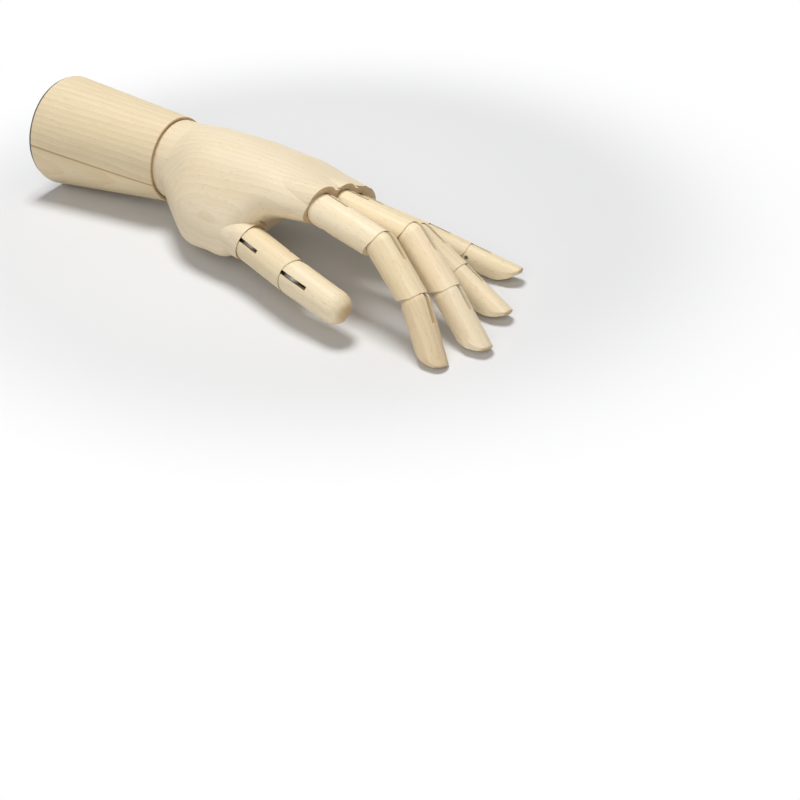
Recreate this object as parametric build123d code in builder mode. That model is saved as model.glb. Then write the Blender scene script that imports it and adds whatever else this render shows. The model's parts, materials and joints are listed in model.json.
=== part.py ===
from build123d import *
from math import atan2, cos, radians, sin, sqrt
import os

# Jointed wooden hand mannequin, a left hand lying palm down.
# Millimetres. X runs from the forearm to the fingertips, Z is up, and the thumb is on the -Y side.
# The origin is on the table, under the middle of the whole hand.

os.makedirs("parts", exist_ok=True)

# Forearm block: a turned cone with a bore for the spring and a dished mouth for the wrist
forearm_length = 78.0
base_radius = 30.0
mouth_radius = 22.6
base_edge_round = 1.0
mouth_edge_round = 0.4
bore_radius = 8.5
recess_radius = 13.0
recess_depth = 5.4
pad_radius = 29.2
pad_thickness = 1.5

# Where the forearm's base stands, so that the origin is under the middle of the hand
base_centre = (-142.0, 19.3, base_radius)

# Wrist ball: the palm's collar ends in a dome that turns in the forearm's mouth
dome_radius = 24.0
seat_gap = 0.3
collar_radius = 21.0
pivot_past_mouth = 11.5
collar_end = 14.0
neck_bore_radius = 6.0
neck_bore_depth = 6.5
neck_flare = 0.65
neck_flare_length = 25.0
rest_roll = -19.0
rest_deviation = -4.5

# Wrist hardware
wire_radius = 0.7
hook_radius = 0.72
coil_radius = 5.5
coil_turns = 12.25
coil_start = 12.0
coil_finish = 66.0
anchor_radius = 1.6
anchor_length = 22.0
anchor_offset = 3.5
hook_offset = 1.1
hook_bar_from_pivot = 14.0
link_wire_radius = 0.8
link_reach = 13.9
wrist_pin_radius = 2.0
wrist_pin_length = 32.0
wrist_pin_play = 0.08

# Joint hardware: flat steel strips that turn on pins inside sawn slots
strip_thickness = 1.6
strip_head = 0.78
strip_tail = 0.42
slot_width = 2.0
mortise_width = 1.7
pin_radius = 1.0
pin_play = 0.05
pin_recess = 1.2
pin_blind = 2.2
tail_pin_past_ball = 3.5
tail_end_past_ball = 6.0
mortise_play = 0.5

# Shape of every joint, as shares of the ball's radius
rim_setback = 0.45
rim_tilt = 27.0
palm_rim_tilt = 20.0
notch_heel = 0.25
notch_floor = 0.86
notch_depth = 0.25
notch_end = 1.9
slot_top = 1.6
slot_under = 0.55

# Shape of the fingertips, as shares of the ball's radius, and the rounding of their ends
tip_taper = 0.92
tip_nose = 1.15
tip_edge_round = 1.2

# Fingers: knuckle ball centres in the palm's frame, sideways spread, ball radii at the three
# joints, joint to joint lengths, how far each joint is bent at rest, and how far the palm's
# rounded hump over the knuckle lies above the ball
fingers = {
    "index": dict(
        knuckle=(106.4, -27.0, 2.2), spread=-5.4, radii=(8.0, 7.3, 6.8), pin_side=1,
        lengths=(38.7, 30.9, 29.8), rest=(11.1, 28.1, 17.6), hump=3.2),
    "middle": dict(
        knuckle=(105.7, -10.4, 3.2), spread=-2.9, radii=(8.0, 7.4, 6.9), pin_side=1,
        lengths=(42.1, 32.1, 29.9), rest=(6.4, 32.9, 3.6), hump=2.8),
    "ring": dict(
        knuckle=(101.3, 7.6, -0.3), spread=3.1, radii=(7.7, 7.0, 6.6), pin_side=1,
        lengths=(36.9, 26.6, 29.5), rest=(7.9, 19.8, 0.0), hump=3.8),
    "little": dict(
        knuckle=(95.5, 25.5, -4.8), spread=12.9, radii=(7.2, 6.4, 6.0), pin_side=-1,
        lengths=(32.5, 23.0, 26.2), rest=(7.5, 3.4, 0.0), hump=1.9),
}

hump_past_ball = 0.5
hump_length = 36.0

# Lines between the knuckles, along the palm, where one finger's end face meets the next
knuckle_lines = (-60.0, -18.7, -1.4, 16.5, 60.0)

# Blocks that cut the palm's end faces: how deep and how wide they are, and where the slab
# between two knuckle lines has its middle along the palm
cutter_depth = 60.0
cutter_reach = 50.0
slab_length = 90.0
slab_middle = 105.0

# Thumb: the same joints, rolled so that it folds across the palm
thumb_ball = (73.5, -33.6, -22.5)
thumb_yaw = -16.0
thumb_pitch = 9.0
thumb_roll = 70.0
thumb_radii = (8.8, 8.3)
thumb_lengths = (36.8, 34.0)
thumb_tip_bend = 12.4
thumb_cut_radius = 12.0
thumb_cut_length = 80.0
thumb_cut_back = 20.0

# Palm: closed outlines across the hand, each through twelve points round it from the little
# finger side over the back, the thumb side and the hollow of the palm
palm_outlines = {
    -9.0: [(19.2, 0.0), (15.8, 11.0), (6.6, 18.2), (-5.0, 18.6), (-13.6, 13.6), (-18.2, 6.6),
           (-20.0, -2.0), (-18.0, -10.0), (-12.0, -16.4), (-4.0, -19.2), (6.6, -18.2), (15.8, -11.0)],
    -1.0: [(20.4, -1.0), (16.8, 11.0), (7.4, 18.2), (-5.0, 19.4), (-14.2, 14.6), (-19.4, 7.4),
           (-21.4, -2.0), (-21.0, -11.6), (-14.6, -19.4), (-4.6, -21.8), (7.0, -19.6), (17.0, -12.6)],
    8.0: [(25.0, -2.0), (20.5, 11.6), (9.5, 19.9), (-4.5, 21.6), (-14.8, 17.8), (-21.6, 10.4),
          (-25.8, -1.5), (-26.8, -13.8), (-20.0, -23.6), (-7.0, -25.4), (7.0, -21.6), (19.6, -15.0)],
    17.0: [(29.0, -2.5), (24.0, 11.4), (11.0, 20.2), (-5.0, 22.4), (-16.6, 19.4), (-25.6, 11.4),
           (-31.0, -1.5), (-32.6, -15.2), (-25.8, -26.6), (-10.6, -28.4), (4.5, -22.6), (20.0, -16.6)],
    26.0: [(32.0, -3.0), (27.0, 10.8), (12.0, 19.8), (-5.0, 22.6), (-18.0, 20.0), (-28.8, 12.0),
           (-35.0, -1.8), (-37.0, -16.0), (-30.8, -30.4), (-14.5, -31.2), (2.0, -23.0), (20.0, -17.6)],
    44.0: [(35.0, -3.5), (30.0, 9.5), (13.0, 19.2), (-5.0, 22.2), (-19.0, 19.8), (-30.5, 12.0),
           (-37.2, -1.0), (-40.0, -15.0), (-36.0, -30.0), (-21.0, -31.4), (-4.0, -20.0), (19.0, -16.5)],
    60.0: [(36.0, -4.5), (31.0, 7.6), (13.5, 17.6), (-5.0, 20.8), (-19.0, 19.0), (-30.5, 12.5),
           (-36.4, 1.0), (-39.4, -12.5), (-37.0, -26.0), (-25.0, -28.6), (-7.0, -15.5), (18.0, -13.5)],
    74.0: [(36.0, -5.4), (31.5, 6.2), (13.8, 16.2), (-5.0, 19.2), (-19.0, 17.8), (-30.4, 12.4),
           (-36.0, 4.0), (-35.6, -4.6), (-29.0, -10.4), (-16.0, -10.8), (-2.0, -10.0), (18.0, -11.8)],
    84.0: [(35.6, -6.0), (31.2, 4.6), (13.6, 13.8), (-4.0, 16.8), (-18.5, 16.2), (-30.0, 11.8),
           (-35.8, 4.0), (-34.8, -3.6), (-28.0, -6.8), (-15.5, -7.6), (-2.0, -8.8), (18.0, -11.5)],
    94.0: [(34.8, -6.5), (30.5, 3.2), (13.5, 11.8), (-3.0, 14.2), (-18.0, 14.4), (-29.5, 11.2),
           (-35.4, 4.0), (-34.3, -3.0), (-27.5, -5.9), (-15.0, -6.8), (-2.0, -8.2), (18.0, -11.4)],
    103.0: [(34.6, -6.8), (30.4, 2.0), (13.5, 9.8), (-3.0, 12.4), (-18.0, 12.8), (-29.4, 10.2),
            (-35.1, 4.0), (-34.2, -2.8), (-27.5, -5.7), (-15.0, -6.6), (-2.0, -8.2), (18.0, -11.4)],
    112.0: [(34.4, -7.0), (30.3, 1.0), (13.5, 8.2), (-3.0, 11.0), (-18.0, 11.6), (-29.4, 9.4),
            (-35.0, 4.0), (-34.1, -2.8), (-27.5, -5.7), (-15.0, -6.6), (-2.0, -8.2), (18.0, -11.4)],
}

# Column of wood that carries the thumb: distance past the thumb's ball, and its radius
thumb_column = [(-52.0, 8.8), (-36.0, 11.4), (-22.0, 11.6), (-11.0, 10.4), (4.0, 8.9)]


def turned(place, x=0.0, y=0.0, z=0.0):
    """A place turned about its own axes."""
    return place * Location((0, 0, 0), (x, y, z))


def moved(place, x, y=0.0, z=0.0):
    """A place moved along its own axes."""
    return place * Location((x, y, z))


def side_plane(place):
    """The plane through a place's X and Z, for outlines seen from the side."""
    axes = Plane(place)
    return Plane(origin=axes.origin, x_dir=axes.x_dir, z_dir=-axes.y_dir)


def cross_plane(place, x=0.0):
    """The plane across a place's X at distance x, with its sketch axes along Y and Z."""
    axes = Plane(moved(place, x))
    return Plane(origin=axes.origin, x_dir=axes.y_dir, z_dir=axes.x_dir)


def long_axis(place):
    """The place's own X axis."""
    axes = Plane(place)
    return Axis(axes.origin, axes.x_dir)


def finish(piece, label):
    """Names a finished piece and writes its file."""
    piece.part.label = label
    export_step(piece.part, f"parts/{label}.step")


# Places of the main frames at rest
forearm_place = Location(base_centre)
wrist_centre = moved(forearm_place, forearm_length + pivot_past_mouth)
spring_place = turned(forearm_place, x=rest_roll)
spring_pivot = turned(wrist_centre, x=rest_roll)
palm_place = turned(spring_pivot, z=rest_deviation)

# Forearm
mouth_lip = sqrt((dome_radius + seat_gap) ** 2 - pivot_past_mouth**2)
pivot_x = forearm_length + pivot_past_mouth
seat_floor = pivot_x - sqrt((dome_radius + seat_gap) ** 2 - bore_radius**2)
seat_angle = radians(40)
seat_middle = (
    pivot_x - (dome_radius + seat_gap) * cos(seat_angle),
    (dome_radius + seat_gap) * sin(seat_angle),
)
with BuildPart() as forearm:
    with BuildSketch(side_plane(forearm_place)) as forearm_profile:
        with BuildLine() as forearm_outline:
            Polyline(
                (seat_floor, bore_radius),
                (recess_depth, bore_radius),
                (recess_depth, recess_radius),
                (0, recess_radius),
                (0, base_radius),
                (forearm_length, mouth_radius),
                (forearm_length, mouth_lip),
            )
            ThreePointArc((forearm_length, mouth_lip), seat_middle, (seat_floor, bore_radius))
        make_face()
    revolve(axis=long_axis(forearm_place))
    round_edges = forearm.edges().filter_by(GeomType.CIRCLE)
    fillet(round_edges.filter_by(lambda edge: abs(edge.radius - base_radius) < 0.01), base_edge_round)
    round_edges = forearm.edges().filter_by(GeomType.CIRCLE)
    fillet(round_edges.filter_by(lambda edge: abs(edge.radius - mouth_radius) < 0.01), mouth_edge_round)
finish(forearm, "forearm")

# Felt pad glued over the base
with BuildPart() as base_pad:
    with BuildSketch(cross_plane(forearm_place, -pad_thickness)):
        Circle(pad_radius)
    extrude(amount=pad_thickness)
finish(base_pad, "base_pad")

# Steel rod that lies across the bore under the pad and holds the spring
with BuildPart() as anchor_pin:
    anchor_place = moved(spring_place, anchor_offset)
    with BuildSketch(side_plane(anchor_place)):
        Circle(anchor_radius)
    extrude(amount=anchor_length / 2, both=True)
finish(anchor_pin, "anchor_pin")


def wire(start, end, radius):
    """A straight stretch of wire with round ends, joined to the part being built."""
    run = end - start
    with BuildSketch(Plane(origin=start, z_dir=run)) as section:
        Circle(radius)
    extrude(section.sketch, amount=run.length)
    with Locations(start, end):
        Sphere(radius)


# Tension spring: a close wound wire whose ends hook the rod and the wrist link
coil_length = coil_finish - coil_start
coil_plane = cross_plane(turned(spring_place, x=-90), coil_start)
coil = coil_plane.location * Helix(coil_length / coil_turns, coil_length, coil_radius)
with BuildPart() as wrist_spring:
    with BuildSketch(Plane(origin=coil @ 0, z_dir=coil % 0)):
        Circle(wire_radius)
    sweep(path=coil)
    along = Plane(spring_place).x_dir
    for coil_end, coil_x, hook_x in (
        (coil @ 0, coil_start, hook_offset),
        (coil @ 1, coil_finish, pivot_x - hook_bar_from_pivot),
    ):
        bend = coil_end + along * (hook_x - coil_x)
        on_axis = Plane(moved(spring_place, hook_x)).origin
        wire(coil_end, bend, hook_radius)
        wire(bend, on_axis + (on_axis - bend), hook_radius)
finish(wrist_spring, "wrist_spring")

# Closed wire link between the spring's hook and the palm's cross pin
with BuildPart() as wrist_link:
    link_width = wrist_pin_radius + wrist_pin_play + link_wire_radius
    with BuildLine(side_plane(palm_place)) as link_path:
        top = Line((0, link_width), (-link_reach, link_width))
        far = ThreePointArc(top @ 1, (-link_reach - link_width, 0), (-link_reach, -link_width))
        under = Line(far @ 1, (0, -link_width))
        ThreePointArc(under @ 1, (link_width, 0), top @ 0)
    with BuildSketch(Plane(origin=link_path.line @ 0, z_dir=link_path.line % 0)):
        Circle(link_wire_radius)
    sweep(path=link_path.line)
finish(wrist_link, "wrist_link")

# Cross pin in the palm's neck
with BuildPart() as wrist_pin:
    with BuildSketch(side_plane(palm_place)):
        Circle(wrist_pin_radius)
    extrude(amount=wrist_pin_length / 2, both=True)
finish(wrist_pin, "wrist_pin")


def joint_places(start, lengths, bends):
    """The places of a chain of joints, each bent about its own Y axis."""
    places = []
    for length, bend in zip(lengths, bends):
        place = turned(start, y=bend)
        places.append(place)
        start = moved(place, length)
    return places


def cross_pin(place, inner, outer, side, mode=Mode.ADD):
    """A pin, or its hole, along a place's Y axis: it starts inside the wood at the distance
    inner from the place and goes to the distance outer on the given side."""
    with BuildSketch(side_plane(moved(place, 0, -inner * side))) as section:
        Circle(pin_radius)
    extrude(section.sketch, amount=-side * (inner + outer), mode=mode)


def seat(centre, ball, side, pin_outer):
    """Cuts what a joint needs in the piece before it: the dished seat, the strip's mortise and
    the hole of the fixed pin. The centre is the ball's, turned as the piece before it."""
    with Locations(centre):
        Sphere(ball + seat_gap, mode=Mode.SUBTRACT)
    mortise_end = ball + tail_end_past_ball + mortise_play
    with BuildSketch(side_plane(centre)) as mortise:
        with Locations((-mortise_end / 2, 0)):
            Rectangle(mortise_end, 2 * (strip_tail * ball + 0.1))
    extrude(mortise.sketch, amount=mortise_width / 2, both=True, mode=Mode.SUBTRACT)
    tail_place = moved(centre, -ball - tail_pin_past_ball)
    cross_pin(tail_place, ball - pin_blind, pin_outer, side, Mode.SUBTRACT)


def arc_middle(ball):
    """The point half way round the ball end of a half outline."""
    return (-ball * sin(radians(45)), ball * cos(radians(45)))


def joint_cuts(place, ball, side):
    """Cuts the saw slot, the heel notch and the pivot hole at a ball end."""
    with BuildSketch(side_plane(place)) as slot:
        with BuildLine():
            Polyline(
                (-1.2 * ball, 1.2 * ball),
                (slot_top * ball, 1.2 * ball),
                (slot_top * ball, ball),
                (slot_under * ball, -1.2 * ball),
                (-1.2 * ball, -1.2 * ball),
                close=True,
            )
        make_face()
    extrude(slot.sketch, amount=slot_width / 2, both=True, mode=Mode.SUBTRACT)
    with BuildSketch(side_plane(place)) as notch:
        with BuildLine():
            Polyline(
                (notch_heel * ball, -ball),
                (notch_floor * ball, -(1 - notch_depth) * ball),
                (notch_end * ball, -ball),
                (notch_end * ball, -1.2 * ball),
                (notch_heel * ball, -1.2 * ball),
                close=True,
            )
        make_face()
    extrude(notch.sketch, amount=1.2 * ball, both=True, mode=Mode.SUBTRACT)
    cross_pin(place, ball - pin_blind, ball + 2, side, Mode.SUBTRACT)


def make_phalanx(label, place, ball, length, next_ball, side):
    """A bar with a ball at its near end and the dished seat of the next ball at its far end."""
    with BuildPart() as phalanx:
        with BuildSketch(side_plane(place)):
            with BuildLine():
                Polyline((-ball, 0), (length, 0), (length, next_ball + 0.1), (0, ball))
                ThreePointArc((0, ball), arc_middle(ball), (-ball, 0))
            make_face()
        revolve(axis=long_axis(place))
        rim = turned(moved(place, length - rim_setback * next_ball), y=rim_tilt)
        split(bisect_by=cross_plane(rim), keep=Keep.BOTTOM)
        seat(moved(place, length), next_ball, side, next_ball + 3)
        joint_cuts(place, ball, side)
    finish(phalanx, label)


def make_fingertip(label, place, ball, length, side):
    """A ball-ended bar, straight along the back, rounded seen from above and cut to a curved
    chisel end on the pad side."""
    end_radius = tip_taper * ball
    nose = tip_nose * ball
    with BuildPart() as tip:
        with BuildSketch(side_plane(place)):
            with BuildLine():
                bar = Polyline((-ball, 0), (length, 0), (length, end_radius - tip_edge_round))
                corner = ThreePointArc(
                    bar @ 1,
                    (length - 0.29 * tip_edge_round, end_radius - 0.29 * tip_edge_round),
                    (length - tip_edge_round, end_radius),
                )
                back = Line(corner @ 1, (0, ball))
                ThreePointArc(back @ 1, arc_middle(ball), (-ball, 0))
            make_face()
        revolve(axis=long_axis(place))
        with BuildSketch(Plane(place)):
            with BuildLine():
                sides = Polyline(
                    (length - nose, end_radius),
                    (0, 1.2 * ball),
                    (-1.2 * ball, 1.2 * ball),
                    (-1.2 * ball, -1.2 * ball),
                    (0, -1.2 * ball),
                    (length - nose, -end_radius),
                )
                Spline(sides @ 1, (length, 0), sides @ 0, tangents=((1, 0), (-1, 0)))
            make_face()
        extrude(amount=1.2 * ball, both=True, mode=Mode.INTERSECT)
        with BuildSketch(side_plane(place)):
            with BuildLine():
                pad = ThreePointArc(
                    (0.44 * length, -1.02 * ball),
                    (0.76 * length, -0.44 * ball),
                    (1.01 * length, 0.55 * ball),
                )
                Polyline(pad @ 1, (1.01 * length, -1.3 * ball), (0.44 * length, -1.3 * ball), pad @ 0)
            make_face()
        extrude(amount=1.2 * ball, both=True, mode=Mode.SUBTRACT)
        joint_cuts(place, ball, side)
    finish(tip, label)


def make_thumb_tip(label, place, ball, length, side):
    """A ball-ended bar with a full round nose and a small flat on its pad."""
    with BuildPart() as tip:
        nose = length - 0.95 * ball
        with BuildSketch(side_plane(place)):
            with BuildLine():
                bar = Polyline((-ball, 0), (length, 0))
                nose_arc = ThreePointArc(
                    bar @ 1, (length - 0.28 * ball, 0.67 * ball), (nose, 0.95 * ball)
                )
                side_line = Line(nose_arc @ 1, (0, ball))
                ThreePointArc(side_line @ 1, arc_middle(ball), bar @ 0)
            make_face()
        revolve(axis=long_axis(place))
        with BuildSketch(side_plane(place)):
            with BuildLine():
                pad = ThreePointArc(
                    (0.60 * length, -1.0 * ball),
                    (0.84 * length, -0.72 * ball),
                    (1.02 * length, -0.10 * ball),
                )
                Polyline(pad @ 1, (1.02 * length, -1.3 * ball), (0.60 * length, -1.3 * ball), pad @ 0)
            make_face()
        extrude(amount=1.2 * ball, both=True, mode=Mode.SUBTRACT)
        joint_cuts(place, ball, side)
    finish(tip, label)


def make_link(label, centre, ball):
    """The steel strip of one joint: a round head on the pivot and a tail in the piece before."""
    with BuildPart() as link:
        with BuildSketch(side_plane(centre)):
            Circle(strip_head * ball)
            tail_length = ball + tail_end_past_ball
            with Locations((-tail_length / 2, 0)):
                Rectangle(tail_length, 2 * strip_tail * ball)
            Circle(pin_radius + pin_play, mode=Mode.SUBTRACT)
            with Locations((-ball - tail_pin_past_ball, 0)):
                Circle(pin_radius, mode=Mode.SUBTRACT)
        extrude(amount=strip_thickness / 2, both=True)
    finish(link, label)


def make_pins(label, places, side, short):
    """The pins that one piece holds, each given by its place and the radius of its ball."""
    with BuildPart() as pins:
        for place, ball in places:
            cross_pin(place, ball - pin_blind, ball - short, side)
    finish(pins, label)


def make_digit(name, knuckle, radii, lengths, bends, side):
    """All the pieces of one finger or thumb beyond the palm."""
    places = joint_places(knuckle, lengths, bends)
    segments = ["proximal", "middle", "distal"] if len(places) == 3 else ["proximal", "distal"]
    make_link(f"{name}_proximal_link", knuckle, radii[0])
    for number, segment in enumerate(segments):
        place = places[number]
        ball = radii[number]
        length = lengths[number]
        held = [(place, ball)]
        if number < len(places) - 1:
            next_ball = radii[number + 1]
            centre = moved(place, length)
            make_phalanx(f"{name}_{segment}", place, ball, length, next_ball, side)
            make_link(f"{name}_{segments[number + 1]}_link", centre, next_ball)
            held.append((moved(centre, -next_ball - tail_pin_past_ball), next_ball))
        elif name == "thumb":
            make_thumb_tip(f"{name}_{segment}", place, ball, length, side)
        else:
            make_fingertip(f"{name}_{segment}", place, ball, length, side)
        make_pins(f"{name}_{segment}_pins", held, side, pin_recess)
    return places


knuckle_places = {}
for name, finger in fingers.items():
    knuckle = turned(moved(palm_place, *finger["knuckle"]), z=finger["spread"])
    knuckle_places[name] = knuckle
thumb_place = turned(moved(palm_place, *thumb_ball), z=thumb_yaw)
thumb_place = turned(turned(thumb_place, y=thumb_pitch), x=thumb_roll)
seat_places = {**knuckle_places, "thumb": thumb_place}


def ball_of(name):
    """The radius of the ball that joins a finger or the thumb to the palm."""
    return thumb_radii[0] if name == "thumb" else fingers[name]["radii"][0]


def end_face(name):
    """A block that lies in front of the palm's end face at a ball, to be cut away."""
    ball = ball_of(name)
    face = turned(moved(seat_places[name], -rim_setback * ball), y=palm_rim_tilt)
    return moved(face, cutter_depth / 2) * Box(cutter_depth, 2 * cutter_reach, 2 * cutter_reach)


# Blocks that cut the palm's end faces: between two knuckle lines for a finger, and within a
# round column for the thumb
end_cutters = []
for number, name in enumerate(fingers):
    low, high = knuckle_lines[number], knuckle_lines[number + 1]
    slab = moved(palm_place, slab_middle, (low + high) / 2) * Box(slab_length, high - low, slab_length)
    end_cutters.append(end_face(name) & slab)
thumb_middle = turned(moved(thumb_place, -thumb_cut_back), y=90)
thumb_round = thumb_middle * Cylinder(thumb_cut_radius, thumb_cut_length)
end_cutters.append(end_face("thumb") & thumb_round)

# Palm
with BuildPart() as palm:
    for x, outline in palm_outlines.items():
        steps = [number / len(outline) for number in range(len(outline) + 1)]
        with BuildSketch(cross_plane(palm_place, x)):
            with BuildLine():
                points = [Vector(*point) for point in outline]
                add(Edge.make_spline(points, periodic=True, parameters=steps))
            make_face()
    loft()
    # neck bore, flared so that the link and hook stay clear when the wrist tilts
    with BuildSketch(side_plane(palm_place)):
        with BuildLine():
            Polyline(
                (-neck_flare_length, 0),
                (-neck_flare_length, neck_bore_radius + neck_flare_length * neck_flare),
                (0, neck_bore_radius),
                (neck_bore_depth, neck_bore_radius),
                (neck_bore_depth, 0),
                close=True,
            )
        make_face()
    revolve(axis=long_axis(palm_place), mode=Mode.SUBTRACT)
    collar_edge = -sqrt(dome_radius**2 - collar_radius**2)
    flare_a = 1 + neck_flare**2
    flare_b = neck_bore_radius * neck_flare
    flare_c = neck_bore_radius**2 - dome_radius**2
    flare_x = (flare_b - sqrt(flare_b**2 - flare_a * flare_c)) / flare_a
    flare_radius = neck_bore_radius - neck_flare * flare_x
    dome_angle = (atan2(flare_radius, -flare_x) + atan2(collar_radius, -collar_edge)) / 2
    with BuildSketch(side_plane(palm_place)):
        with BuildLine():
            Polyline(
                (collar_edge, collar_radius), (collar_end, collar_radius), (collar_end, 0),
                (neck_bore_depth, 0), (neck_bore_depth, neck_bore_radius), (0, neck_bore_radius),
                (flare_x, flare_radius),
            )
            ThreePointArc(
                (flare_x, flare_radius),
                (-dome_radius * cos(dome_angle), dome_radius * sin(dome_angle)),
                (collar_edge, collar_radius),
            )
        make_face()
    revolve(axis=long_axis(palm_place))
    for name, knuckle in knuckle_places.items():
        hump = turned(moved(knuckle, -hump_length / 2, 0, fingers[name]["hump"]), y=90)
        with Locations(hump):
            Cylinder(ball_of(name) + hump_past_ball, 2 * hump_length)
    with BuildSketch(side_plane(thumb_place)):
        with BuildLine():
            column = Spline(*thumb_column)
            Polyline(column @ 1, (thumb_column[-1][0], 0), (thumb_column[0][0], 0), column @ 0)
        make_face()
    revolve(axis=long_axis(thumb_place))
    with BuildSketch(side_plane(palm_place)):
        Circle(wrist_pin_radius)
    extrude(amount=wrist_pin_length / 2, both=True, mode=Mode.SUBTRACT)
    # a sloping end face and a dished seat for every finger and the thumb
    for cutter in end_cutters:
        add(cutter, mode=Mode.SUBTRACT)
    for name, place in seat_places.items():
        ball = ball_of(name)
        seat(place, ball, 1, ball - pin_blind)
finish(palm, "palm")

palm_pin_places = []
for name, place in seat_places.items():
    ball = ball_of(name)
    palm_pin_places.append((moved(place, -ball - tail_pin_past_ball), ball))
make_pins("palm_pins", palm_pin_places, 1, pin_blind)

digit_places = {}
for name, finger in fingers.items():
    digit_places[name] = make_digit(
        name, knuckle_places[name], finger["radii"], finger["lengths"], finger["rest"],
        finger["pin_side"],
    )
digit_places["thumb"] = make_digit(
    "thumb", thumb_place, thumb_radii, thumb_lengths, (0.0, thumb_tip_bend), 1
)
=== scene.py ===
import json
from math import pi, tau

import bpy
import numpy as np
from mathutils import Matrix, Vector


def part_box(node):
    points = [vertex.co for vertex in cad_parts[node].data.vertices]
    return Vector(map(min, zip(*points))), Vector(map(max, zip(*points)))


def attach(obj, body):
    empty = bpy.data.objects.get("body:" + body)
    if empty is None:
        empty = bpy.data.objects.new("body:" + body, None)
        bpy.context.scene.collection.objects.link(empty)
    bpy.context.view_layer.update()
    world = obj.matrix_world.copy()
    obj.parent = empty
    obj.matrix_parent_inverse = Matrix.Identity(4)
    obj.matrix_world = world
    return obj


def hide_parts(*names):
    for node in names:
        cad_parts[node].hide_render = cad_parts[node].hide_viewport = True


# A jointed wooden hand, left, lying palm down on a pale table. All sizes are metres.
# The frame's own joints and boxes say where each piece is and which way its grain runs.

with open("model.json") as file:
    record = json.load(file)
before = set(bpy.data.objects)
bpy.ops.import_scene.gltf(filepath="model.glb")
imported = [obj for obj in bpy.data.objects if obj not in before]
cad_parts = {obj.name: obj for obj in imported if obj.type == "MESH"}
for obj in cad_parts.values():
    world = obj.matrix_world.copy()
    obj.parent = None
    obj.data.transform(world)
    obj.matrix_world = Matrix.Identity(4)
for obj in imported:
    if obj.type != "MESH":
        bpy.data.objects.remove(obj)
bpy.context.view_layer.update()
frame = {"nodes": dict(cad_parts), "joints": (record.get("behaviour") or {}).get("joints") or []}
nodes = frame["nodes"]
joints = {joint["name"]: joint for joint in frame["joints"]}
print("frame loaded:", len(nodes), "nodes")


def linearColour(hexText):
    # sRGB hex text to the linear numbers that a shader wants
    values = np.array([int(hexText[i:i + 2], 16) for i in (1, 3, 5)]) / 255
    linear = np.where(values <= 0.04045, values / 12.92, ((values + 0.055) / 1.055) ** 2.4)
    return (*linear.tolist(), 1.0)


def addNode(tree, kind, inputs=None, **settings):
    # one node, with its settings, its fixed inputs and its links
    node = tree.nodes.new(kind)
    for name, value in settings.items():
        setattr(node, name, value)
    for name, value in (inputs or {}).items():
        if isinstance(value, bpy.types.NodeSocket):
            tree.links.new(value, node.inputs[name])
        else:
            node.inputs[name].default_value = value
    return node


def newMaterial(name):
    # an empty material, and its tree to fill
    material = bpy.data.materials.new(name)
    material.use_nodes = True
    tree = material.node_tree
    tree.nodes.clear()
    return material, tree


def setMaterial(piece, material):
    # one material all over a piece
    if not piece.material_slots:
        piece.data.materials.append(material)
    for slot in piece.material_slots:
        slot.material = material


def meshPiece(name, points, faces, smooth=True):
    # a new object from an array of points and a list of faces, with its place in its mesh
    mesh = bpy.data.meshes.new(name)
    mesh.from_pydata(points.tolist(), [], faces)
    mesh.update()
    mesh.polygons.foreach_set("use_smooth", np.full(len(mesh.polygons), smooth))
    piece = bpy.data.objects.new(name, mesh)
    bpy.context.scene.collection.objects.link(piece)
    return piece


# Where each piece of wood begins and which way its grain runs

tipDepth = 0.003  # a fingertip's far end is the middle of its last 3 mm
baseLow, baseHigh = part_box("forearm")
baseCentre = Vector((baseLow[0], (baseLow[1] + baseHigh[1]) / 2, (baseHigh[2] + baseLow[2]) / 2))


def jointPlace(name):
    return Vector(joints[name]["pos_m"])


def farEnd(nodeName, start):
    # the middle of the piece's points that lie furthest from its own joint
    points = np.array([v.co for v in nodes[nodeName].data.vertices])
    reach = np.linalg.norm(points - np.array(start), axis=1)
    return Vector(points[reach > reach.max() - tipDepth].mean(axis=0))


def grainFrame(start, end, across):
    # turns object space so that X runs along the piece and Y along its joint pin
    along = (end - start).normalized()
    side = (across - along * across.dot(along)).normalized()
    return start, Matrix((along, side, along.cross(side)))


wristPlace = jointPlace("wrist_flexion")
wristPin = Vector(joints["wrist_flexion"]["axis"])
knuckleMiddle = (jointPlace("middle_knuckle") + jointPlace("ring_knuckle")) / 2
grains = {
    "forearm": grainFrame(baseCentre, wristPlace, Vector((0, 1, 0))),
    "palm": grainFrame(wristPlace, knuckleMiddle, wristPin),
}
fingerChain = (("proximal", "knuckle"), ("middle", "middle"), ("distal", "tip"))
thumbChain = (("proximal", "base"), ("distal", "tip"))
chains = {
    "index": fingerChain, "middle": fingerChain, "ring": fingerChain, "little": fingerChain,
    "thumb": thumbChain,
}
for digit, chain in chains.items():
    starts = [jointPlace(f"{digit}_{joint}") for segment, joint in chain]
    ends = starts[1:] + [farEnd(f"{digit}_distal", starts[-1])]
    for (segment, joint), start, end in zip(chain, starts, ends):
        pin = Vector(joints[f"{digit}_{joint}"]["axis"])
        grains[f"{digit}_{segment}"] = grainFrame(start, end, pin)


# Steamed beech, turned and sanded, with no varnish: pale, fine and even, with faint long rings,
# short dark flecks, and browner end grain where a surface cuts across the fibres; that brown is
# made darker than end grain alone, as painted shade for the dark lines in the joint gaps.

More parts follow.
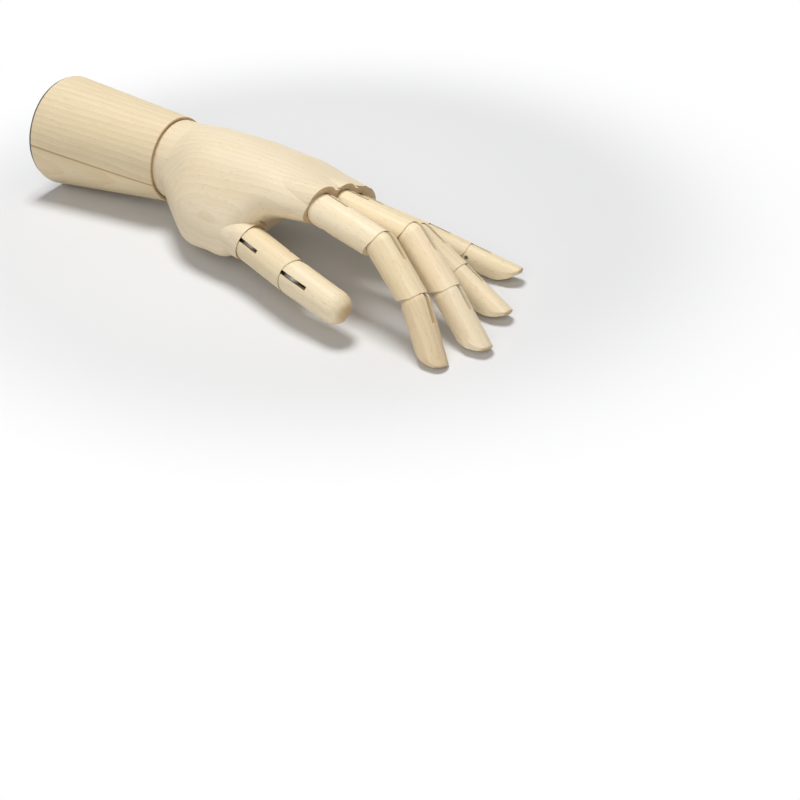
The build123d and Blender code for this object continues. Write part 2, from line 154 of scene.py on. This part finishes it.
beech = {
    "ringSpacing": 0.0032,  # yearly rings of a slow beech, 2 to 4 mm
    "ringBend": 0.006,  # how far they wander off a true circle
    "ringShown": (0.1, 0.95),
    # each pattern's length along the grain and width across it, its detail and its roughness
    "wander": (0.09, 0.02, 2.0, 0.5),
    "streaks": (0.045, 0.0022, 4.0, 0.62),
    "clouds": (0.06, 0.018, 2.0, 0.5),
    "flecks": (0.004, 0.00045, 1.0, 0.4),  # real ones are 0.2 mm wide, too fine to show
    "pores": (0.0021, 0.00035, 2.0, 0.6),  # sanding marks and pores under the finish
    # from where to where a pattern comes in, and its share of the colour there
    "streakShown": (0.52, 0.74, 0.55),
    "cloudShown": (0.40, 0.68, 0.35),
    "fleckShown": (0.64, 0.74, 0.40),
    # end grain's brown, made darker than real end grain as painted shade in the joint gaps
    "endGrainAndGapShadeShown": (0.72, 0.98, 0.62),
    "cloudColour": "#DCC69F",
    "fleckColour": "#BA9C70",
    "endGrainAndGapShadeColour": "#AE8750",
    # the spots of the plank that the pieces come from: off its heart, and from piece to piece
    "heart": (0.0, 0.055, 0.021),
    "plankStep": (0.013, 0.007, -0.011),
    "reliefStrength": 0.22,
    "reliefDepth": 0.00012,
    "roughness": (0.51, 0.64),  # between the streaks and on them
    "ior": 1.5,
}
# the wood of each piece: light and dark rings, and how strongly they differ
tones = {
    "forearm": ("#DCCBAA", "#CDB890", 0.60),
    "palm": ("#E2D3B6", "#D6C3A0", 0.45),
    "index_proximal": ("#EFE0C2", "#E3CFA8", 0.50),
    "index_middle": ("#E8D6B2", "#DAC49A", 0.55),
    "index_distal": ("#DFCAA4", "#D0B790", 0.50),
    "middle_proximal": ("#EAD9B6", "#DCC79E", 0.55),
    # middle_middle is set lighter than the pieces around it, as a painted highlight
    "middle_middle": ("#F4E2C2", "#E6D0AA", 0.55),
    "middle_distal": ("#ECDCBE", "#DFCBA8", 0.50),
    "ring_proximal": ("#E8D7B4", "#DAC59C", 0.55),
    "ring_middle": ("#E9D8B6", "#DBC69E", 0.50),
    "ring_distal": ("#EAD9B8", "#DCC7A0", 0.55),
    "little_proximal": ("#E7D6B2", "#D8C298", 0.55),
    "little_middle": ("#E9D8B6", "#DBC69E", 0.50),
    "little_distal": ("#E8D7B4", "#D9C49C", 0.55),
    "thumb_proximal": ("#E6D6B4", "#D9C59E", 0.50),
    "thumb_distal": ("#E8D8B8", "#DCC9A4", 0.45),
}
# the forearm's dark growth line: where a thin layer of late wood comes out along its thumb side
growthLine = {
    "piece": "forearm",
    "colour": "#A88252",
    "share": 0.75,
    "slope": 0.107,  # metres that it sinks for every metre along the forearm
    "height": 0.0021,  # above the middle, at the base
    "halfWidth": 0.0003,
    "blur": 0.0005,
    "waver": 0.0012,
}


def layOver(tree, pattern, shown, below, above):
    # lets the colour above come in over the one below as the pattern rises
    low, high, share = shown
    amount = addNode(tree, "ShaderNodeMapRange", {
        "Value": pattern, "From Min": low, "From Max": high, "To Min": 0.0, "To Max": share})
    return addNode(tree, "ShaderNodeMix", {
        0: amount.outputs["Result"], 6: below, 7: above}, data_type="RGBA").outputs[2]


def withGrowthLine(tree, position, start, waver, surface):
    # height over the line's sloping plane, wavering a little, and only on the side of the thumb
    local = addNode(tree, "ShaderNodeVectorMath", {0: position, 1: start}, operation="SUBTRACT")
    height = addNode(tree, "ShaderNodeVectorMath", {
        0: local.outputs[0], 1: (growthLine["slope"], 0.0, 1.0)}, operation="DOT_PRODUCT")
    swing = addNode(tree, "ShaderNodeMath", {
        0: waver, 1: growthLine["waver"], 2: -growthLine["height"] - growthLine["waver"] / 2},
        operation="MULTIPLY_ADD")
    offset = addNode(tree, "ShaderNodeMath", {
        0: height.outputs["Value"], 1: swing.outputs[0]}, operation="ADD")
    distance = addNode(tree, "ShaderNodeMath", {0: offset.outputs[0]}, operation="ABSOLUTE")
    near = addNode(tree, "ShaderNodeMapRange", {
        "Value": distance.outputs[0], "From Min": growthLine["halfWidth"],
        "From Max": growthLine["halfWidth"] + growthLine["blur"],
        "To Min": growthLine["share"], "To Max": 0.0})
    sideways = addNode(tree, "ShaderNodeSeparateXYZ", {0: local.outputs[0]})
    thumbSide = addNode(tree, "ShaderNodeMath", {
        0: sideways.outputs["Y"], 1: 0.0}, operation="LESS_THAN")
    share = addNode(tree, "ShaderNodeMath", {
        0: near.outputs["Result"], 1: thumbSide.outputs[0]}, operation="MULTIPLY")
    return addNode(tree, "ShaderNodeMix", {
        0: share.outputs[0], 6: surface, 7: linearColour(growthLine["colour"])},
        data_type="RGBA").outputs[2]


def beechMaterial(name, grain, tone, number):
    start, turn = grain
    light, dark, contrast = tone
    material, tree = newMaterial(f"beech {name}")
    place = addNode(tree, "ShaderNodeTexCoord")
    # every piece comes from another spot of the plank, some centimetres off the tree's heart
    steps = Vector((number, number % 5, number % 4))
    spot = Vector(beech["heart"]) + Vector(beech["plankStep"]) * steps
    centred = addNode(tree, "ShaderNodeMapping", {
        "Vector": place.outputs["Object"], "Location": spot - turn @ start,
        "Rotation": turn.to_euler()}).outputs["Vector"]

    def grainNoise(pattern):
        # noise with lumps of a real size: so long along the grain and so wide across it
        length, width, detail, roughness = beech[pattern]
        stretched = addNode(tree, "ShaderNodeMapping", {
            "Vector": centred, "Scale": (1 / length, 1 / width, 1 / width)})
        return addNode(tree, "ShaderNodeTexNoise", {
            "Vector": stretched.outputs["Vector"], "Scale": 1.0, "Detail": detail,
            "Roughness": roughness}).outputs

    wander = grainNoise("wander")
    streaks = grainNoise("streaks")["Fac"]
    bend = addNode(tree, "ShaderNodeVectorMath", {
        0: wander["Color"], 1: (0.0, beech["ringBend"], beech["ringBend"])},
        operation="MULTIPLY")
    bent = addNode(tree, "ShaderNodeVectorMath", {0: centred, 1: bend.outputs[0]})
    # Blender's wave has one ring every tau / 20 at a scale of 1
    rings = addNode(tree, "ShaderNodeTexWave", {
        "Vector": bent.outputs[0], "Scale": tau / 20 / beech["ringSpacing"], "Distortion": 0.6,
        "Detail": 2.0, "Detail Scale": 1.5}, wave_type="RINGS", rings_direction="X",
        wave_profile="SAW")

    surface = layOver(tree, rings.outputs["Fac"], (*beech["ringShown"], contrast),
                      linearColour(light), linearColour(dark))
    surface = layOver(tree, streaks, beech["streakShown"], surface, linearColour(dark))
    surface = layOver(tree, grainNoise("clouds")["Fac"], beech["cloudShown"], surface,
                      linearColour(beech["cloudColour"]))
    surface = layOver(tree, grainNoise("flecks")["Fac"], beech["fleckShown"], surface,
                      linearColour(beech["fleckColour"]))
    if name == growthLine["piece"]:
        surface = withGrowthLine(tree, place.outputs["Object"], start, wander["Fac"], surface)
    # end grain where the surface faces along the fibres, darkened beyond its own brown as painted
    # shade in the joint gaps
    facing = addNode(tree, "ShaderNodeVectorMath", {
        0: place.outputs["Normal"], 1: turn.row[0]}, operation="DOT_PRODUCT")
    across = addNode(tree, "ShaderNodeMath", {0: facing.outputs["Value"]}, operation="ABSOLUTE")
    surface = layOver(tree, across.outputs[0], beech["endGrainAndGapShadeShown"], surface,
                      linearColour(beech["endGrainAndGapShadeColour"]))

    relief = addNode(tree, "ShaderNodeMath", {
        0: grainNoise("pores")["Fac"], 1: streaks}, operation="ADD")
    bump = addNode(tree, "ShaderNodeBump", {
        "Strength": beech["reliefStrength"], "Distance": beech["reliefDepth"],
        "Height": relief.outputs[0]})
    smooth, rough = beech["roughness"]
    gloss = addNode(tree, "ShaderNodeMapRange", {
        "Value": streaks, "From Min": 0.3, "From Max": 0.8, "To Min": smooth, "To Max": rough})
    shader = addNode(tree, "ShaderNodeBsdfPrincipled", {
        "Base Color": surface, "Roughness": gloss.outputs["Result"], "IOR": beech["ior"],
        "Normal": bump.outputs["Normal"]})
    addNode(tree, "ShaderNodeOutputMaterial", {"Surface": shader.outputs["BSDF"]})
    return material


for number, (name, tone) in enumerate(tones.items()):
    setMaterial(nodes[name], beechMaterial(name, grains[name], tone, number))
print("beech on", len(tones), "pieces")


# Cold-rolled strip, cut pins and drawn spring wire: plain grey steel, a little dull from
# handling, with fine marks along the way it was rolled or drawn, and darker stains.

steels = {
    "strip": {"colour": "#8B8A86", "roughness": 0.42, "markLength": 0.006, "markWidth": 0.00025},
    "pin": {"colour": "#A3A29E", "roughness": 0.34, "markLength": 0.003, "markWidth": 0.0002},
    "wire": {"colour": "#97969A", "roughness": 0.30, "markLength": 0.012, "markWidth": 0.0002},
    "stainColour": "#6E6A64",
    "stainScale": 260.0,  # stains of about 4 mm
    "markStrength": 0.2,
    "markDepth": 0.00004,
    "smoother": 0.08,  # how much smoother and rougher than its mean the metal is in places
    "rougher": 0.12,
}


def steelMaterial(name, steel):
    material, tree = newMaterial(name)
    place = addNode(tree, "ShaderNodeTexCoord")
    marks = addNode(tree, "ShaderNodeMapping", {
        "Vector": place.outputs["Object"],
        "Scale": (1 / steel["markLength"], 1 / steel["markWidth"], 1 / steel["markWidth"])})
    scratches = addNode(tree, "ShaderNodeTexNoise", {
        "Vector": marks.outputs["Vector"], "Scale": 1.0, "Detail": 3.0, "Roughness": 0.6})
    stains = addNode(tree, "ShaderNodeTexNoise", {
        "Vector": place.outputs["Object"], "Scale": steels["stainScale"], "Detail": 3.0,
        "Roughness": 0.55})
    tint = addNode(tree, "ShaderNodeMix", {
        0: stains.outputs["Fac"], 6: linearColour(steel["colour"]),
        7: linearColour(steels["stainColour"])}, data_type="RGBA")
    gloss = addNode(tree, "ShaderNodeMapRange", {
        "Value": scratches.outputs["Fac"], "From Min": 0.3, "From Max": 0.7,
        "To Min": steel["roughness"] - steels["smoother"],
        "To Max": steel["roughness"] + steels["rougher"]})
    bump = addNode(tree, "ShaderNodeBump", {
        "Strength": steels["markStrength"], "Distance": steels["markDepth"],
        "Height": scratches.outputs["Fac"]})
    shader = addNode(tree, "ShaderNodeBsdfPrincipled", {
        "Base Color": tint.outputs[2], "Metallic": 1.0, "Roughness": gloss.outputs["Result"],
        "Normal": bump.outputs["Normal"]})
    addNode(tree, "ShaderNodeOutputMaterial", {"Surface": shader.outputs["BSDF"]})
    return material


stripSteel = steelMaterial("rolled steel strip", steels["strip"])
pinSteel = steelMaterial("cut steel pin", steels["pin"])
springSteel = steelMaterial("drawn spring wire", steels["wire"])
for name, piece in nodes.items():
    if name in ("wrist_spring", "wrist_link"):
        setMaterial(piece, springSteel)
    elif name.endswith("_link"):
        setMaterial(piece, stripSteel)
    elif name.endswith("pins") or name in ("wrist_pin", "anchor_pin"):
        setMaterial(piece, pinSteel)
print("steel on the joints")


# The felt pad under the forearm's base, black and cut by hand, so its edge wavers a little

felt = {
    "edgeRound": 0.0005,
    "unevenness": 0.00018,  # how far the cut edge wanders
    "rows": 7,
    "around": 180,
    "innerRing": 0.12,  # the first ring's share of the radius
    "dark": "#141312",
    "light": "#2B2927",
    "fibre": 0.0004,  # wool fibres are far thinner, tufts of them are what shows
    "clump": 0.0025,
    "reliefStrength": 0.8,
    "reliefDepth": 0.0003,
    "roughness": 0.95,
    "sheen": 0.3,
    "sheenRoughness": 0.6,
}


def feltDisc():
    # a pressed disc: rings of points out to the rounded rim on one face, round it, and back to
    # the middle of the other; the radius wavers slowly round the rim
    low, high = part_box("base_pad")
    radius = (high.z - low.z) / 2
    middle = (np.array(low) + np.array(high)) / 2
    half = (high.x - low.x) / 2
    rounding = min(felt["edgeRound"], half)
    turns = np.linspace(0, pi / 2, felt["rows"])
    flat = np.linspace(felt["innerRing"], 1.0, felt["rows"])[:-1] * (radius - rounding)
    rim = radius - rounding + rounding * np.sin(turns)
    depth = half - rounding + rounding * np.cos(turns)
    level = np.full(len(flat), half)
    radii = np.concatenate([flat, rim, rim[::-1], flat[::-1]])[:, None]
    offsets = np.concatenate([level, depth, -depth[::-1], -level])[:, None]
    angle = np.linspace(0, tau, felt["around"], endpoint=False)
    waver = np.sin(3 * angle + 0.4) + 0.6 * np.sin(7 * angle + 2.0) + 0.4 * np.sin(17 * angle)
    wide = radii - felt["unevenness"] * (1 + waver / 2) * radii / radius
    grid = np.stack([
        middle[0] + np.repeat(offsets, len(angle), axis=1),
        middle[1] + wide * np.cos(angle), middle[2] + wide * np.sin(angle)], axis=-1)
    rings, around = grid.shape[:2]
    centres = [middle + (half, 0, 0), middle - (half, 0, 0)]
    points = np.concatenate([grid.reshape(-1, 3), centres])
    # quads between neighbouring rings, and a fan of triangles on each face
    near = np.arange((rings - 1) * around).reshape(rings - 1, around)
    beside = np.roll(near, -1, axis=1)
    quads = np.stack([near, near + around, beside + around, beside], axis=-1).reshape(-1, 4)
    step = np.arange(around)
    following = np.roll(step, -1)
    last = (rings - 1) * around
    front = np.stack([np.full(around, rings * around), step, following], axis=-1)
    back = np.stack([np.full(around, rings * around + 1), last + following, last + step], axis=-1)
    faces = quads.tolist() + front.tolist() + back.tolist()
    return meshPiece("felt_pad", points, faces)


def feltMaterial():
    # pressed wool felt: black, matt, with short tangled fibres and denser clumps
    material, tree = newMaterial("pressed black felt")
    place = addNode(tree, "ShaderNodeTexCoord")
    fibres = addNode(tree, "ShaderNodeTexNoise", {
        "Vector": place.outputs["Object"], "Scale": 1 / felt["fibre"], "Detail": 4.0,
        "Roughness": 0.7, "Distortion": 1.2})
    clumps = addNode(tree, "ShaderNodeTexNoise", {
        "Vector": place.outputs["Object"], "Scale": 1 / felt["clump"], "Detail": 2.0})
    height = addNode(tree, "ShaderNodeMath", {
        0: fibres.outputs["Fac"], 1: clumps.outputs["Fac"]}, operation="ADD")
    colour = addNode(tree, "ShaderNodeMix", {
        0: fibres.outputs["Fac"], 6: linearColour(felt["dark"]), 7: linearColour(felt["light"])},
        data_type="RGBA")
    bump = addNode(tree, "ShaderNodeBump", {
        "Strength": felt["reliefStrength"], "Distance": felt["reliefDepth"],
        "Height": height.outputs[0]})
    shader = addNode(tree, "ShaderNodeBsdfPrincipled", {
        "Base Color": colour.outputs[2], "Roughness": felt["roughness"],
        "Sheen Weight": felt["sheen"], "Sheen Roughness": felt["sheenRoughness"],
        "Normal": bump.outputs["Normal"]})
    addNode(tree, "ShaderNodeOutputMaterial", {"Surface": shader.outputs["BSDF"]})
    return material


feltPad = feltDisc()
setMaterial(feltPad, feltMaterial())
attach(feltPad, "forearm")
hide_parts("base_pad")
print("felt pad made")


# A pale board that fades to white round the hand, one soft lamp above and one in front

studio = {
    "floorSize": 4.0,
    "floor": "#DCDCDC",
    "farFloor": "#FFFFFF",
    "floorRoughness": 0.7,
    "speckleScale": 900.0,  # specks of about a millimetre
    "speckle": 0.02,
    "clearCentre": (-0.005, 0.05, 0.0),
    "clearFrom": 0.15,  # the pale grey fades to white between these distances
    "clearTo": 0.31,
    "room": "#F3F5FA",
    "roomStrength": 0.19,
    "backdrop": "#FFFFFF",
    "keyEnergy": 10.2,
    "keySize": 0.45,
    "keyPlace": (-0.15, 0.12, 1.1),
    "keyTarget": (0.0, 0.0, 0.0),
    "frontEnergy": 6.2,
    "frontSize": 0.9,
    "frontPlace": (0.45, -1.0, 0.75),
    "frontTarget": (0.0, 0.0, 0.02),
}


def seenDirectly(tree):
    # 1 for the rays of the camera, of reflections and through glass, and 0 for the rest
    ray = addNode(tree, "ShaderNodeLightPath")
    sharp = addNode(tree, "ShaderNodeMath", {
        0: ray.outputs["Is Camera Ray"], 1: ray.outputs["Is Glossy Ray"]}, operation="ADD")
    return addNode(tree, "ShaderNodeMath", {
        0: sharp.outputs[0], 1: ray.outputs["Is Transmission Ray"]}, operation="ADD",
        use_clamp=True).outputs[0]


def tableTop():
    half = studio["floorSize"] / 2
    corners = np.array([(-half, -half, 0), (half, -half, 0), (half, half, 0), (-half, half, 0)])
    table = meshPiece("table", corners, [(0, 1, 2, 3)], smooth=False)
    material, tree = newMaterial("pale table board")
    place = addNode(tree, "ShaderNodeTexCoord")
    distance = addNode(tree, "ShaderNodeVectorMath", {
        0: place.outputs["Object"], 1: studio["clearCentre"]}, operation="DISTANCE")
    fade = addNode(tree, "ShaderNodeMapRange", {
        "Value": distance.outputs["Value"], "From Min": studio["clearFrom"],
        "From Max": studio["clearTo"]}, interpolation_type="SMOOTHSTEP")
    speckle = addNode(tree, "ShaderNodeTexNoise", {
        "Vector": place.outputs["Object"], "Scale": studio["speckleScale"], "Detail": 2.0})
    tone = addNode(tree, "ShaderNodeMapRange", {
        "Value": speckle.outputs["Fac"], "To Min": -studio["speckle"],
        "To Max": studio["speckle"]})
    share = addNode(tree, "ShaderNodeMath", {
        0: fade.outputs[0], 1: tone.outputs[0]}, operation="ADD", use_clamp=True)
    colour = addNode(tree, "ShaderNodeMix", {
        0: share.outputs[0], 6: linearColour(studio["floor"]),
        7: linearColour(studio["farFloor"])}, data_type="RGBA")
    shader = addNode(tree, "ShaderNodeBsdfPrincipled", {
        "Base Color": colour.outputs[2], "Roughness": studio["floorRoughness"]})
    glow = addNode(tree, "ShaderNodeEmission", {
        "Color": linearColour(studio["backdrop"]), "Strength": 1.0})
    seen = addNode(tree, "ShaderNodeMath", {
        0: seenDirectly(tree), 1: fade.outputs[0]}, operation="MULTIPLY")
    mixed = addNode(tree, "ShaderNodeMixShader", {
        0: seen.outputs[0], 1: shader.outputs["BSDF"], 2: glow.outputs["Emission"]})
    addNode(tree, "ShaderNodeOutputMaterial", {"Surface": mixed.outputs["Shader"]})
    setMaterial(table, material)


def softLight(name):
    # a round lamp that looks at its target, both given in the studio's settings
    lamp = bpy.data.lights.new(name, "AREA")
    lamp.energy = studio[name + "Energy"]
    lamp.shape = "DISK"
    lamp.size = studio[name + "Size"]
    light = bpy.data.objects.new(name, lamp)
    light.location = studio[name + "Place"]
    aim = Vector(studio[name + "Target"]) - Vector(studio[name + "Place"])
    light.rotation_euler = aim.to_track_quat("-Z", "Y").to_euler()
    bpy.context.scene.collection.objects.link(light)


def room():
    # lights the hand softly, and is plain white where the camera or a reflection meets it
    world = bpy.data.worlds.new("studio")
    world.use_nodes = True
    tree = world.node_tree
    tree.nodes.clear()
    dim = addNode(tree, "ShaderNodeBackground", {
        "Color": linearColour(studio["room"]), "Strength": studio["roomStrength"]})
    white = addNode(tree, "ShaderNodeBackground", {
        "Color": linearColour(studio["backdrop"]), "Strength": 1.0})
    mixed = addNode(tree, "ShaderNodeMixShader", {
        0: seenDirectly(tree), 1: dim.outputs["Background"], 2: white.outputs["Background"]})
    addNode(tree, "ShaderNodeOutputWorld", {"Surface": mixed.outputs["Shader"]})
    bpy.context.scene.world = world


tableTop()
softLight("key")
softLight("front")
room()
bpy.context.scene.view_settings.view_transform = "Standard"
print("table, lamps and room set")


# The camera of the photograph, worked out from the forearm's outline: where it stands from the
# middle of the base, which way it looks, and where its axis meets the picture.

view = {
    "offset": (0.5466, -0.5296, 0.3164),
    "right": (0.8197, 0.5719, -0.0340),
    "up": (-0.2350, 0.3897, 0.8904),
    "focalPixels": 1476.3,
    "axisPixel": (313.5, 226.0),
    "picture": 800,
    "sensor": 36.0,
    "clipStart": 0.01,
}
camera = bpy.data.cameras.new("camera")
camera.sensor_width = view["sensor"]
camera.lens = view["focalPixels"] * view["sensor"] / view["picture"]
camera.shift_x = (view["picture"] / 2 - view["axisPixel"][0]) / view["picture"]
camera.shift_y = (view["axisPixel"][1] - view["picture"] / 2) / view["picture"]
camera.clip_start = view["clipStart"]
right = Vector(view["right"]).normalized()
up = Vector(view["up"])
up = (up - right * up.dot(right)).normalized()
turn = Matrix((right, up, right.cross(up))).transposed().to_4x4()
cameraObject = bpy.data.objects.new("camera", camera)
cameraObject.matrix_world = Matrix.Translation(baseCentre + Vector(view["offset"])) @ turn
bpy.context.scene.collection.objects.link(cameraObject)
bpy.context.scene.camera = cameraObject
print("camera set")
